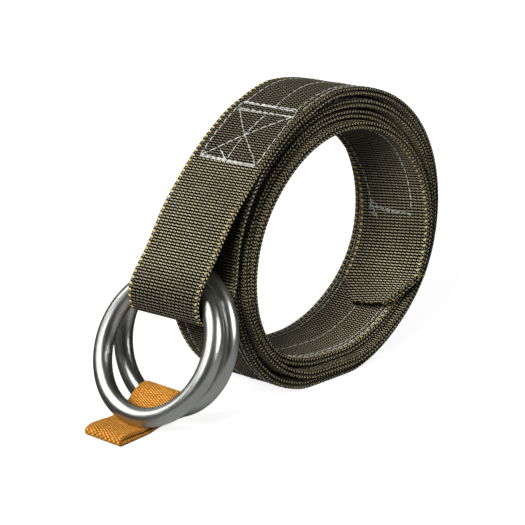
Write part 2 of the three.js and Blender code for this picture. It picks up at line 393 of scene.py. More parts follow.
# %% [markdown]
# ## Stitches
#
# The two plies are sewn together with pale thread. A lockstitch is a row of short floats
# of thread, each of which comes up out of the cloth and goes down into it again. One
# drawn line along the seam would look printed, so each float is a small tapered tube that
# sinks at its two ends. Its place is given on the strip, as length along and distance
# across, and it is bent onto the surface there. The bar above the tip is a piece of its
# own, because its thread has been rubbed grey.

# %% Places on the strip's surface
belt_run = run_of(belt_rows)
belt_across, belt_out = directions(belt_rows)


def on_belt(s, u, height):
    """Point at length s along the strip and distance u across it, at a height over the
    outward face, and that face's normal: the centre plus u times the width direction plus
    (half a ply + height) times the normal."""
    s, u, height = (np.asarray(v, float)[..., None] for v in np.broadcast_arrays(s, u, height))

    def read(table):
        """Rows of a table at s, in a straight line between its stations."""
        return np.concatenate([np.interp(s, belt_run, column) for column in table.T], -1)

    normal = read(belt_out)
    return read(belt_rows[:, :3]) + u * read(belt_across) + (PLY / 2 + height) * normal, normal


# %% A float of thread, many at a time
FLOAT_STATIONS = 6
THREAD_SIDES = 6


def float_tubes(lines, radius):
    """Tubes round many short centre lines, given as (lines, stations, 3) with one radius
    each. At every station the tube is a circle across the line's direction, which is the
    difference of the neighbouring points, and it thins towards both ends as the fourth
    root of the half circle."""
    count, stations, _ = lines.shape
    t = np.linspace(-1, 1, stations)
    thin = np.maximum(1 - t**2, 0.06) ** 0.25
    way = np.gradient(lines, axis=1)
    way /= np.linalg.norm(way, axis=2)[..., None]
    side = np.cross(way, [0.3, 0.5, 0.81])
    side /= np.linalg.norm(side, axis=2)[..., None]
    other = np.cross(way, side)
    turn = 2 * np.pi * np.arange(THREAD_SIDES) / THREAD_SIDES
    wide = np.asarray(radius)[:, None, None, None] * thin[None, :, None, None]
    ring = np.cos(turn)[:, None] * side[:, :, None] + np.sin(turn)[:, None] * other[:, :, None]
    points = lines[:, :, None] + wide * ring
    quads = tube_faces(stations, THREAD_SIDES, False).reshape(-1, 4)
    base = np.arange(count) * stations * THREAD_SIDES
    faces = (quads[None] + base[:, None, None]).reshape(-1, 4).tolist()
    start = (np.arange(THREAD_SIDES)[None] + base[:, None]).tolist()
    last = (stations * THREAD_SIDES - 1 - np.arange(THREAD_SIDES)[None] + base[:, None]).tolist()
    return points.reshape(-1, 3), faces + start + last


def floats_between(starts, ends, lift, dip):
    """Centre lines of floats laid on the strip from (s, u) to (s, u). The height over the
    face is lift * sin(pi t) ** 0.5 - dip, so that each float bows up out of the ribs."""
    t = np.linspace(0, 1, FLOAT_STATIONS)[None, :]
    s = starts[:, :1] * (1 - t) + ends[:, :1] * t
    u = starts[:, 1:] * (1 - t) + ends[:, 1:] * t
    lines = on_belt(s, u, lift * np.sin(np.pi * t) ** 0.5 - dip)[0]
    lines[..., 2] = np.maximum(lines[..., 2], 2 * THREAD)  # on the floor side they are pressed in
    return lines


# %% Seams, boxes and bars
chance = np.random.default_rng(38)
STITCH = 3.6
THREAD = 0.2  # radius


def seam(points, stitch=STITCH, sway=0.12):
    """Starts and ends of the floats along a bent line of (s, u) points: the line is cut
    into equal steps, each float takes nine tenths of a step, and it sways a little."""
    points = np.asarray(points, float)
    run = np.concatenate([[0], np.cumsum(np.linalg.norm(np.diff(points, axis=0), axis=1))])
    count = max(int(round(run[-1] / stitch)), 1)
    marks = np.linspace(0, run[-1], count + 1)
    starts, ends = (
        np.stack([np.interp(place, run, column) for column in points.T], 1)
        for place in (marks[:-1], marks[:-1] + 0.9 * run[-1] / count)
    )
    starts[:, 1] += chance.normal(0, sway, count)
    ends[:, 1] += chance.normal(0, sway, count)
    return starts, ends


def bar(s, from_u, to_u, passes, spread):
    """A bar tack: the needle goes back and forth over one line, and each pass lies a
    little beside the last."""
    rows = []
    for k in range(passes):
        aside = (k - (passes - 1) / 2) * spread
        tilt = chance.normal(0, 0.35)
        rows.append(seam([[s + aside - tilt, from_u], [s + aside + tilt, to_u]], 3.1, 0.3))
    return rows


def seams_before(mark, *lines, **settings):
    """Seams along lines of points, each given as how far before a mark on the strip, and
    how far across, it lies."""
    return [seam([[mark - back, u] for back, u in line], **settings) for line in lines]


at = PARTS_AT
box = seams_before(
    at,
    ((33, 14.2), (0.5, 14.2)),
    ((34, -14.2), (28.5, -16.3), (4, -16.3), (0.6, -15.5)),
    ((28, 12), (14, -0.5), (3.5, -12.5), (0.5, -15)),
    ((28.5, -16), (14, -0.5), (0.5, 14.3)),
    ((27, -2.6), (14, -0.4), (1.5, 0)),
)
box += seams_before(at, ((5.2, 6.6), (0.8, 0.4)), stitch=3.2)
box += seams_before(at, ((4.6, 5.0), (0.6, 0.8)), stitch=3.0)
SEWN_LENGTH = 560.0  # of the seams that show, back from the box
u_to_box = ((12.8, 13.4), (-1.6, -2.6), (-14.6, -14.0), (-16.9, -16.7))
long_seams = seams_before(
    at, *(((SEWN_LENGTH, u), (60, u), (34, u_at_box)) for u, u_at_box in u_to_box), sway=0.06
)
bars = (
    bar(at - 0.2, 14.2, -15.6, 3, 0.42)
    + bar(at - 28.3, 13.0, -16.2, 2, 0.5)
    + bar(at - 33.0, 14.2, -14.2, 3, 0.5)
)


def thread_piece(name, kinds):
    """One mesh of all floats of several kinds of seam, each kind given as its seams, how
    high its floats bow up, and its thread's radius."""
    lines, radius = [], []
    for rows, lift, thread in kinds:
        starts, ends = (np.concatenate(part) for part in zip(*rows))
        lines.append(floats_between(starts, ends, lift, dip=0.2))
        radius.append(thread * chance.uniform(0.85, 1.15, len(starts)))
    lines, radius = np.concatenate(lines), np.concatenate(radius)
    piece = add_piece(name, *float_tubes(lines, radius))
    print(f"{name}: {len(lines)} floats of thread")
    return piece


outer_stitches = thread_piece(
    "outer_stitches", [(long_seams, 0.3, 0.13), (box, 0.38, THREAD), (bars, 0.5, 0.24)]
)

# %% The same seams where they come through on the inner ply, and the bar above the tip
def through_to_inner(rows):
    """A seam's other side: the same distance from the parting, counted back on the inner
    ply, and the same distance across."""
    both_partings = BELT_LENGTH - INNER_PLY + PARTS_AT
    return [
        tuple(np.stack([both_partings - part[:, 0], part[:, 1]], 1) for part in row)
        for row in rows
    ]


end = BELT_LENGTH
tip_seams = seams_before(
    end,
    ((48, 12.6), (74, 15.0), (87, 14.2), (155, 13.8), (377, 13.6)),
    ((50, -9.9), (76, -11.2), (97, -14.0), (155, -14.2), (377, -14.6)),
    ((125, -1.5), (377, -1.6)),
    ((245, -16.4), (377, -16.8)),
    ((215, 16.2), (377, 15.8)),
)
tip_bar = bar(end - 46.7, 13.2, -10.1, 3, 0.5)
knot = seams_before(
    end,
    ((48.7, 13.4), (42.9, 9.0)), ((43.1, 12.8), (48.1, 9.4)), ((49.1, 11.6), (45.3, 13.6)),
    ((42.3, 8.6), (45.9, 12.0)), ((48.5, 9.2), (49.1, 12.8)), ((44.1, 13.4), (42.5, 9.6)),
    stitch=2.4, sway=0.5,
)
hidden_seams = seams_before(at, *(((100, u), (34, u)) for u in (13.2, -2, -14.2)))
inner_stitches = thread_piece("inner_stitches", [
    (tip_seams + through_to_inner(hidden_seams), 0.34, 0.15),
    (through_to_inner(box), 0.38, THREAD),
    (through_to_inner(bars), 0.45, 0.2),
])
tip_bar_stitches = thread_piece("tip_bar_stitches", [(tip_bar + knot, 0.45, 0.2)])

# %% [markdown]
# ## The cut tip
#
# Where webbing is cut on a slant, the end is melted so that it doesn't run, and a few
# filaments still stand out of it, with a tuft of the yellow tracer yarn at one corner.
# Hair particles would be the usual way, but they aren't a mesh. These are short bent tubes
# like the stitches, with their starts spread along the two slanted corners and the end.

# %% Filaments at the tip
FILAMENTS = 60
TUFT = 15  # of them stand close together at the near shoulder


def tip_filaments(count):
    """Filaments that start on the outline of the tip and bend outwards. The outline runs
    across the end and up both slants, with a tuft of the tracer at one shoulder, and each
    filament follows a parabola: ahead by t, and up and aside by t squared."""
    slant = run_of(roll_rows(np.linspace(TIP_ANGLE, TIP_ANGLE + TIP_TAPER, 9)))[-1]
    distance = slant * chance.uniform(0, 1, count) ** 1.5
    nearness = 1 - distance / slant
    near, far = (np.interp(nearness, TIP[:, 0], TIP[:, side]) for side in (1, 2))
    pick = chance.random(count)
    u = np.where(pick < 0.5, -near, far)
    at_end = pick > 0.8
    u[at_end] = chance.uniform(-TIP[-1, 1], TIP[-1, 2], at_end.sum())
    distance[at_end] = 0.1
    shoulder = np.arange(count) < TUFT
    u[shoulder], distance[shoulder] = -TIP[0, 1], slant * chance.normal(0.97, 0.03, shoulder.sum())
    s = np.where((chance.random(count) < 0.5) & ~shoulder, distance, BELT_LENGTH - distance)
    root, normal = on_belt(s, u * 0.985, -0.8 + chance.uniform(-0.7, 0.7, count))
    away = on_belt(s, u * 1.02 + 0.01, 0.0)[0] - on_belt(s, u, 0.0)[0]
    away /= np.linalg.norm(away, axis=1)[:, None]
    away += chance.normal(0, 0.5, (count, 3))
    bend = chance.normal(0, 0.45, (count, 3))
    reach = chance.uniform(0.4, 1.5, count)[:, None, None]
    t = np.linspace(0, 1, FLOAT_STATIONS)[None, :, None]
    return root[:, None] + reach * (away[:, None] * t + bend[:, None] * t**2)


thickness = np.where(np.arange(FILAMENTS) < TUFT, 0.15, 0.07)
tip_fray = add_piece("tip_fray", *float_tubes(tip_filaments(FILAMENTS), thickness))
print(f"tip_fray: {FILAMENTS} filaments")

# %% [markdown]
# ## The rings
#
# Each ring is a round steel wire bent to a circle and welded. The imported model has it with
# few sides, which is right for weighing and colliding but shows as flats on polished steel.
# Blender has a torus ready made, but it is as easy to write out: go round the big circle,
# and at each place round the small one. Written out, it can swell a little at the weld.

# %% The rings
WIRE = 8.0
RING_INSIDE = 50.0
RING_PLACES = {  # centre, and lean and yaw in degrees
    "ring_front": ((-87.35, 0.1, 33.9), 28.0, 2.2),
    "ring_back": ((-73.8, 4.0, 33.6), 16.6, 3.2),
}


def ring_piece(name, centre, lean, yaw, round_count=288, wire_count=40):
    """Centre + (R + r cos b) * radial + r sin b * axis. Radial goes round in the ring's own
    plane with a, and r is the wire's radius, a little more where the weld is, at the top.
    The map holds millimetres along the wire and round it, for the grain of the steel."""
    lean, yaw = np.radians(lean), np.radians(yaw)
    sideways = np.array([np.sin(yaw), -np.cos(yaw), 0.0])
    upwards = np.array([np.cos(yaw) * np.sin(lean), np.sin(yaw) * np.sin(lean), np.cos(lean)])
    axis = np.cross(sideways, upwards)
    a = 2 * np.pi * np.arange(round_count)[:, None] / round_count
    b = 2 * np.pi * np.arange(wire_count)[None, :] / wire_count
    big = (RING_INSIDE + WIRE) / 2
    from_weld = (a - np.pi / 2) * big
    small = WIRE / 2 + 0.1 * np.exp(-((from_weld / 2.2) ** 2))
    radial = np.cos(a)[..., None] * sideways + np.sin(a)[..., None] * upwards
    points = np.array(centre) + (big + small * np.cos(b))[..., None] * radial
    points = points + (small * np.sin(b))[..., None] * axis
    faces = tube_faces(round_count, wire_count, True)
    piece = add_piece(name, points.reshape(-1, 3), faces[..., ::-1].reshape(-1, 4).tolist())
    along_wire = np.stack([a[:, 0]] * 4, 1)[:, None, :] + (a[1, 0] * np.array([0, 1, 1, 0]))
    around = b[0][None, :, None] + (b[0, 1] * np.array([0, 0, 1, 1]))
    corners = np.stack(np.broadcast_arrays(along_wire * big, around * WIRE / 2), -1)
    add_weave_map(piece, corners[..., ::-1, :].reshape(-1, 2))
    print(f"{name}: {2 * round_count * wire_count} triangles")
    return piece


rings = {
    node: ring_piece(node + "_steel", *place) for node, place in RING_PLACES.items()
}

# %% [markdown]
# ## The pull tab
#
# The tab is twenty millimetres wide and hardly longer than the hand needs, so its weave
# shows yarn by yarn. It is short enough for every yarn to be real relief: the surface
# rises over each crossing, and the crossings of neighbouring yarns are offset by half.

# %% The pull tab
TAB_WIDTH = 20.0
TAB_THICK = 1.5
TAB_RIB = 0.95
TAB_YARN = 1.2
TAB_STEP = TAB_RIB / 5  # between two stations
TAB = np.array([
    [-113.0, 3.4, 0.75], [-104.0, 4.2, 0.75], [-96.0, 5.1, 0.75], [-88.0, 5.8, 0.75],
    [-81.5, 6.2, 0.75], [-77.2, 6.0, 2.2], [-75.5, 5.5, 6.5], [-77.2, 4.8, 11.1],
    [-81.0, 4.5, 13.2], [-85.6, 4.4, 12.0], [-89.6, 4.5, 8.5], [-93.6, 4.4, 5.5],
    [-97.0, 4.3, 4.0], [-100.9, 4.2, 3.2], [-106.4, 3.8, 3.45], [-112.2, 3.4, 3.4],
    [-114.3, 3.4, 2.2],
])


def crossings(s, u):
    """Plain weave: over each yarn a hump, cos of the place across it, times a wave along
    it that starts half a rib later in every second yarn."""
    yarn = np.floor(u / TAB_YARN + 0.5)
    hump = np.cos(np.pi * (u / TAB_YARN - yarn)) ** 0.7
    wave = (1 + np.cos(2 * np.pi * (s / TAB_RIB + 0.5 * (yarn % 2)))) / 2
    return hump * (0.25 + 0.75 * wave)


tab_knots = np.concatenate([TAB[-2:], TAB, TAB[:3]])
tab_knots = np.concatenate([tab_knots, np.tile([-0.05, 0.0, 0.0], (len(tab_knots), 1))], 1)
tab_rows = along(tab_knots, TAB_STEP, 2, len(tab_knots) - 3)[:-1]
tab_x = tab_rows[:, 0]
tab_thick = TAB_THICK + np.interp(tab_x, [-108, -97], [0.6, 0.0])  # puffed up where loose
tab_rows[:, 2] = np.maximum(tab_rows[:, 2], tab_thick / 2)
on_floor = tab_rows[:, 2] < 2.5
hugging = np.interp(tab_x, [-97, -91, -80, -77.5], [0, -1.1, -1.1, 0]) * on_floor
tab_yarns = int(TAB_WIDTH / TAB_YARN)
pull_tab = woven_strip(
    "pull_tab_webbing", tab_rows, (TAB_WIDTH / 2, TAB_WIDTH / 2), tab_thick,
    np.linspace(-1, 1, 4 * tab_yarns + 1), crossings, relief=0.15, rib=TAB_RIB, curl=hugging,
    closed=True,
)

# %% [markdown]
# ## Materials as node groups
#
# Two effects are used by more than one material: the rows of a weave, and patches where
# the colour drifts. Each is a shader node group with named sockets, built once. The math
# that a weave needs is long when it is wired by hand, so a helper makes a Math node from
# an operation and its inputs, and the wiring then reads like a formula.

# %% Helpers for nodes
def feed(tree, socket, value):
    """Links a value into a socket, or sets it there: a number, or a colour's three."""
    if isinstance(value, bpy.types.NodeSocket):
        tree.links.new(value, socket)
    else:
        socket.default_value = (*value, 1.0) if isinstance(value, tuple) else value


def feed_all(tree, node, **values):
    """Feeds a node's sockets by their names, where underlines stand for spaces."""
    for label, value in values.items():
        feed(tree, node.inputs[label.replace("_", " ")], value)


def add_node(tree, kind, **values):
    """A new shader node of a kind, with values fed to its sockets by their names."""
    node = tree.nodes.new("ShaderNode" + kind)
    feed_all(tree, node, **values)
    return node


def calculator(tree):
    """A function that makes a Math node in this tree and hands back the node's output."""
    def calc(operation, *values):
        node = add_node(tree, "Math")
        node.operation = operation
        for socket, value in zip(node.inputs, values):
            feed(tree, socket, value)
        return node.outputs[0]
    return calc


def smooth_step(tree, value, low, high):
    """0 below low, 1 above high, and an S-curve between."""
    node = add_node(tree, "MapRange", Value=value, From_Min=low, From_Max=high)
    node.interpolation_type = "SMOOTHSTEP"
    return node.outputs["Result"]


def blend_colours(tree, factor, first, second, way="MIX"):
    """A colour Mix node; a colour is a socket or three numbers."""
    node = add_node(tree, "Mix")
    node.data_type = "RGBA"
    node.blend_type = way
    for number, value in ((0, factor), (6, first), (7, second)):
        feed(tree, node.inputs[number], value)
    return node.outputs[2]


def new_group(name, inputs, outputs):
    """An empty shader node group with float inputs and outputs, the sockets that it is
    given, and the node that takes its results."""
    group = bpy.data.node_groups.new(name, "ShaderNodeTree")
    for label, value in inputs.items():
        socket = group.interface.new_socket(label, in_out="INPUT", socket_type="NodeSocketFloat")
        socket.default_value = value
    for label in outputs:
        group.interface.new_socket(label, in_out="OUTPUT", socket_type="NodeSocketFloat")
    given = group.nodes.new("NodeGroupInput").outputs
    return group, given, group.nodes.new("NodeGroupOutput")


def place_group(tree, group, **values):
    """A group placed in a material, with its own values."""
    node = add_node(tree, "Group")
    node.node_tree = group
    feed_all(tree, node, **values)
    return node.outputs


# %% The rows of a weave
def make_woven_rows():
    """Yarn number = round(across / yarn). Place in the row = along / rib + slant * place in
    the yarn, with every second yarn shifted by the stagger. Height is the crest of a cosine
    over the row times the hump over the yarn. In the gap between two rows every second yarn
    stays up as a bridge, and in the next gap it is the others. Yarns can also lie in pairs,
    with a deeper gap between two pairs than between the two yarns of one."""
    group, given, results = new_group(
        "woven rows",
        {"Along": 0.0, "Across": 0.0, "Rib": 1.3, "Yarn": 1.0, "Slant": 0.1, "Stagger": 0.1,
         "Bridge": 0.6, "Gap": 0.7, "Paired": 0.0},
        ("Height", "Crest", "Chance"),
    )
    calc = calculator(group)
    a = calc("DIVIDE", given["Across"], given["Yarn"])
    yarn = calc("ROUND", a)
    place = calc("SUBTRACT", a, yarn)
    odd = calc("ABSOLUTE", calc("MODULO", yarn, 2.0))
    row = calc("DIVIDE", given["Along"], given["Rib"])
    row = calc("ADD", row, calc("MULTIPLY", given["Slant"], place))
    row = calc("ADD", row, calc("MULTIPLY", given["Stagger"], odd))
    wave = calc("COSINE", calc("MULTIPLY", row, 2 * np.pi))
    crest = calc("MULTIPLY_ADD", wave, 0.5, 0.5)
    hump = calc("POWER", calc("COSINE", calc("MULTIPLY", place, np.pi)), 0.6)
    full = calc("MULTIPLY_ADD", calc("SUBTRACT", hump, 1.0), given["Gap"], 1.0)
    pair = calc("MULTIPLY_ADD", a, 0.5, -0.25)
    pair = calc("SUBTRACT", pair, calc("ROUND", pair))
    pair = calc("POWER", calc("COSINE", calc("MULTIPLY", pair, np.pi)), 0.5)
    pair = calc("MULTIPLY_ADD", calc("SUBTRACT", pair, 1.0), given["Paired"], 1.0)
    full = calc("MULTIPLY", full, pair)
    raised = calc("MULTIPLY", crest, full)
    gap = calc("ADD", a, calc("FLOOR", row))
    dips = calc("COSINE", calc("MULTIPLY", gap, np.pi))
    stays = calc("SUBTRACT", 1.0, smooth_step(group, dips, -0.75, 0.1))
    bridge = calc("MULTIPLY", calc("MULTIPLY", stays, full), given["Bridge"])
    raised = calc("MAXIMUM", raised, bridge)
    crossing = add_node(group, "CombineXYZ", X=yarn, Y=calc("ROUND", row))
    noise = add_node(group, "TexWhiteNoise", Vector=crossing.outputs[0])
    noise.noise_dimensions = "2D"
    feed_all(
        group, results, Height=raised, Crest=smooth_step(group, raised, 0.2, 0.95),
        Chance=noise.outputs["Value"],
    )
    return group


# %% Patches where a colour or a gloss drifts
def make_patches():
    """Two noises on the place in the room, a broad and a fine one, put together and spread
    to run from 0 to 1."""
    group, given, results = new_group("patches", {"Broad": 60.0, "Fine": 400.0}, ("Patch",))
    place = add_node(group, "TexCoord").outputs["Object"]
    broad, fine = (
        add_node(group, "TexNoise", Vector=place, Scale=given[label], Detail=detail).outputs[0]
        for label, detail in (("Broad", 2.0), ("Fine", 4.0))
    )
    calc = calculator(group)
    both = calc("MULTIPLY_ADD", fine, 0.4, calc("MULTIPLY", broad, 0.6))
    feed_all(group, results, Patch=smooth_step(group, both, 0.32, 0.68))
    return group


woven_rows = make_woven_rows()
patches = make_patches()
print("node groups:", [g.name for g in bpy.data.node_groups])

# %% [markdown]
# ## Olive webbing
#
# The yarns are bundles of shiny filaments. Their crests catch the light and look pale,
# and the gaps between rows are almost black, because little light gets in there. A single
# yellow tracer yarn runs along each edge and comes up over every second weft yarn. The
# edges themselves are darker, and their bumps lie in small chevrons, one ridge to an edge.
# The colour follows the same numbers as the bumps, so light and shape agree.

# %% What the materials share
def new_material(name, roughness, **settings):
    """A Principled material. Settings are the shader's own sockets, by name."""
    material = bpy.data.materials.new(name)
    material.use_nodes = True
    tree = material.node_tree
    shader = tree.nodes["Principled BSDF"]
    feed_all(tree, shader, Roughness=roughness, **settings)
    return material, tree, shader


def weave_place(tree):
    """Along and across, in millimetres, from the piece's map."""
    weave_map = add_node(tree, "UVMap")
    weave_map.uv_map = "weave"
    return add_node(tree, "SeparateXYZ", Vector=weave_map.outputs["UV"]).outputs[:2]


def wire(tree, shader, height, millimetres, **values):
    """Values into the shader's sockets, and a height of 0 to 1, raised by so many
    millimetres, into its normal."""
    bump = add_node(tree, "Bump", Height=height, Distance=millimetres * MM)
    feed_all(tree, shader, Normal=bump.outputs["Normal"], **values)


def stretch(tree, s, first, last, soft):
    """1 between two places along the strip and 0 beyond them, with soft ends."""
    begins, ends = (smooth_step(tree, s, place - soft, place + soft) for place in (first, last))
    return calculator(tree)("SUBTRACT", begins, ends)


# %% Olive webbing
PAINTED_SHADING = np.array([  # from, to and soft ends in mm along the strip, and how much lighter its faces are painted
    [-50, PARTS_AT, 1, -0.46],  # painted shade over the outer ply, which leaves the loop lighter
    [PARTS_AT - 425, PARTS_AT - 332, 8, -0.7],  # painted shadow of the hanging end, on the turn behind it
    [PARTS_AT + 55, PARTS_AT + 95, 9, -0.6],  # painted shade where the fold turns under, away from the lamps
    [PARTS_AT + 102, BELT_LENGTH - INNER_PLY, 4, -0.75],  # painted shade on the way back from it, which lies behind the hanging end
    [BELT_LENGTH - INNER_PLY, BELT_LENGTH - 30, 12, -0.33],  # the inner ply, up to its bar: painted shade inside the roll
    [BELT_LENGTH - 335, BELT_LENGTH - 225, 20, 0.42],  # painted light lower in the roll, where the lamps reach in
])


def make_olive_webbing():
    """Colour and height follow the rows of the weave, which lie across on the faces and
    slant both ways from a ridge on the edges. Deep, mid and pale colours are blended by the
    crest, from painted shade in the gaps to a painted highlight on the crests, then times a
    shade that goes by chance, drift and painted light and shade along the strip. The tracer
    is laid over them as dashes near each edge."""
    material, tree, shader = new_material(
        "olive webbing", 0.7, Sheen_Weight=0.02, Sheen_Roughness=0.4,
        Sheen_Tint=(0.9, 0.88, 0.75),
    )
    calc = calculator(tree)
    s, u = weave_place(tree)
    from_middle = calc("ABSOLUTE", u)
    edge = smooth_step(tree, from_middle, 18.5, 18.75)
    # The edge's chevrons: two slants of rows that meet on a ridge along its middle.
    depth = calc("SUBTRACT", from_middle, BELT_WIDTH / 2 - EDGE_ROUND)
    off_ridge = calc("ABSOLUTE", calc("SUBTRACT", depth, EDGE_MAP / 2))
    on_ridge = calc("SUBTRACT", 1.0, smooth_step(tree, off_ridge, 0.35, 0.8))
    # The rows of the faces, spread and askew at the loose end.
    loose = calc("MAXIMUM", calc("SUBTRACT", s, LOOSE_FROM), 0.0)
    askew = calc("MULTIPLY", smooth_step(tree, s, LOOSE_FROM, LOOSE_FROM + 60), -LOOSE_SKEW)
    rows_run = calc("MULTIPLY_ADD", loose, -LOOSE_STRETCH, s)
    rows_run = calc("MULTIPLY_ADD", askew, u, rows_run)
    face_rows = place_group(
        tree, woven_rows, Along=rows_run, Across=u, Rib=RIB, Yarn=1.08, Slant=0.2, Stagger=0.14,
        Bridge=0.5, Gap=0.45, Paired=0.42,
    )
    edge_rows = place_group(
        tree, woven_rows, Along=calc("MULTIPLY_ADD", off_ridge, 1.5, s), Across=off_ridge,
        Rib=1.35 * RIB, Yarn=0.95, Slant=0.0, Stagger=0.2, Bridge=0.0, Gap=0.4,
    )
    bare = calc("SUBTRACT", 1.0, edge)

    def mix(on_face, on_edge):
        """The first value times the share of face, plus the second times that of edge."""
        return calc("ADD", calc("MULTIPLY", on_face, bare), calc("MULTIPLY", on_edge, edge))

    height = mix(face_rows["Height"], edge_rows["Height"])
    # Painted shade in the corners of each edge, where one ply meets the next.
    corner = smooth_step(tree, off_ridge, 0.45, 0.85)
    rim = smooth_step(tree, edge_rows["Height"], 0.3, 0.9)
    rim = calc("MULTIPLY", rim, calc("MULTIPLY_ADD", corner, -0.85, 1.0))
    crest = mix(face_rows["Crest"], rim)
    # The colour goes by the crest, and then by chance, by drift and by painted light and shade
    # along the strip.
    drift = place_group(tree, patches, Broad=45.0, Fine=700.0)["Patch"]
    # Painted shade in the gaps between rows and a painted highlight on the crests.
    deep, mid, pale = (0.0025, 0.0016, 0.0003), (0.049, 0.039, 0.012), (0.66, 0.60, 0.42)
    lower = blend_colours(tree, smooth_step(tree, crest, 0.05, 0.55), deep, mid)
    face = blend_colours(tree, smooth_step(tree, crest, 0.42, 1.0), lower, pale)
    shade = calc("MULTIPLY_ADD", face_rows["Chance"], 0.30, 0.72)
    shade = calc("MULTIPLY_ADD", drift, 0.22, shade)
    # Painted light and shade along the strip, on the faces and not on the edges.
    for first, last, soft, lighter in PAINTED_SHADING:
        part = calc("MULTIPLY", stretch(tree, s, first, last, soft), bare)
        shade = calc("MULTIPLY", shade, calc("MULTIPLY_ADD", part, lighter, 1.0))
    face = blend_colours(tree, 1.0, face, shade, "MULTIPLY")
    browned = calc("MULTIPLY", edge, calc("MULTIPLY_ADD", on_ridge, 0.6, 0.3))
    loop_part = stretch(tree, s, PARTS_AT, BELT_LENGTH - INNER_PLY, 5)
    tint = blend_colours(tree, loop_part, (0.92, 0.92, 0.82), (1.5, 1.45, 1.4))
    face = blend_colours(tree, browned, face, tint, "MULTIPLY")
    # The tracer: dashes that sway about a line near each edge, with its gold paler on the far
    # side, partly its own tone and partly painted light against the hollow's shade.
    turn = calc("MULTIPLY", rows_run, np.pi / RIB)
    line = calc("MULTIPLY_ADD", calc("SINE", turn), 0.3, from_middle)
    line = calc("ABSOLUTE", calc("SUBTRACT", line, 17.9))
    far_side = smooth_step(tree, u, -1.0, 1.0)
    line = calc("MULTIPLY_ADD", far_side, -0.2, line)
    in_line = calc("SUBTRACT", 1.0, smooth_step(tree, line, 0.35, 0.7))
    tracer = calc("MULTIPLY", in_line, smooth_step(tree, calc("COSINE", turn), 0.0, 0.5))
    shows = calc(
        "MAXIMUM", stretch(tree, s, PARTS_AT + 20, PARTS_AT + 85, 12),
        smooth_step(tree, s, BELT_LENGTH - 420, BELT_LENGTH - 380),
    )
    shows = calc("MAXIMUM", far_side, calc("MULTIPLY_ADD", shows, 0.75, 0.2))
    tracer = calc("MULTIPLY", tracer, shows)
    luck = face_rows["Chance"]
    near_gold = blend_colours(tree, luck, (0.50, 0.42, 0.13), (0.76, 0.72, 0.34))
    # On the far side the gold is painted brighter over its own paler tone, so that it shows in the
    # hollow's shade.
    far_gold_with_painted_light = blend_colours(tree, luck, (0.95, 0.62, 0.16), (0.98, 0.90, 0.46))
    gold = blend_colours(tree, far_side, near_gold, far_gold_with_painted_light)
    wire(
        tree, shader, height, 0.30, Base_Color=blend_colours(tree, tracer, face, gold),
        Specular_IOR_Level=calc("MULTIPLY", crest, 0.25),
    )
    return material


# %% [markdown]
# ## Thread and loose filaments
#
# Sewing thread is a few yarns twisted together, so its shade goes up and down many times
# along every stitch. The twist could be modelled, but a stitch is only a few tenths of a
# millimetre thick, and a fine noise gives the same speckle. The bar above the tip has the
# same thread rubbed grey, and the cut filaments are the tracer's gold with olive between.

# %% Thread and loose filaments
def make_thread(name, dark, pale, roughness=0.55, sheen=0.1, broad=220.0, fine=2600.0, bump=0.08):
    """Twisted thread, whose shade goes from dark to pale and back many times a millimetre."""
    material, tree, shader = new_material(name, roughness, Sheen_Weight=sheen)
    drift = place_group(tree, patches, Broad=broad, Fine=fine)["Patch"]
    wire(tree, shader, drift, bump, Base_Color=blend_colours(tree, drift, dark, pale))
    return material


# %% [markdown]
# ## Polished steel
#
# A polished ring has hardly any colour of its own: what it shows is the room. What makes
# it steel and not a mirror is a fine haze from polishing, which runs round the wire, and
# a gloss that drifts a little. The haze is a noise that is drawn out along the ring.

# %% Polished steel
def make_polished_steel():
    """A metal whose roughness is 0.28, plus 0.04 times the patches, plus 0.03 times a haze
    drawn out along the wire, which also raises the surface a little."""
    material, tree, shader = new_material("polished steel", 0.2, Metallic=1.0)
    s, u = weave_place(tree)
    calc = calculator(tree)
    grain = add_node(
        tree, "CombineXYZ", X=calc("MULTIPLY", s, 0.25), Y=calc("MULTIPLY", u, 5.0)
    )
    haze = add_node(tree, "TexNoise", Vector=grain.outputs[0], Scale=1.0, Detail=5.0).outputs[0]
    drift = place_group(tree, patches, Broad=50.0, Fine=500.0)["Patch"]
    rough = calc("MULTIPLY_ADD", haze, 0.03, calc("MULTIPLY_ADD", drift, 0.04, 0.28))
    colour = blend_colours(tree, drift, (0.54, 0.555, 0.52), (0.62, 0.635, 0.60))
    wire(tree, shader, haze, 0.0008, Base_Color=colour, Roughness=rough)
    return material


# %% [markdown]
# ## Orange webbing
#
# The tab's relief is real, so its material only has to paint the crossings: a painted
# highlight of pale amber on the crests, painted red-brown shade in the gaps, and each
# crossing a little different from the next.

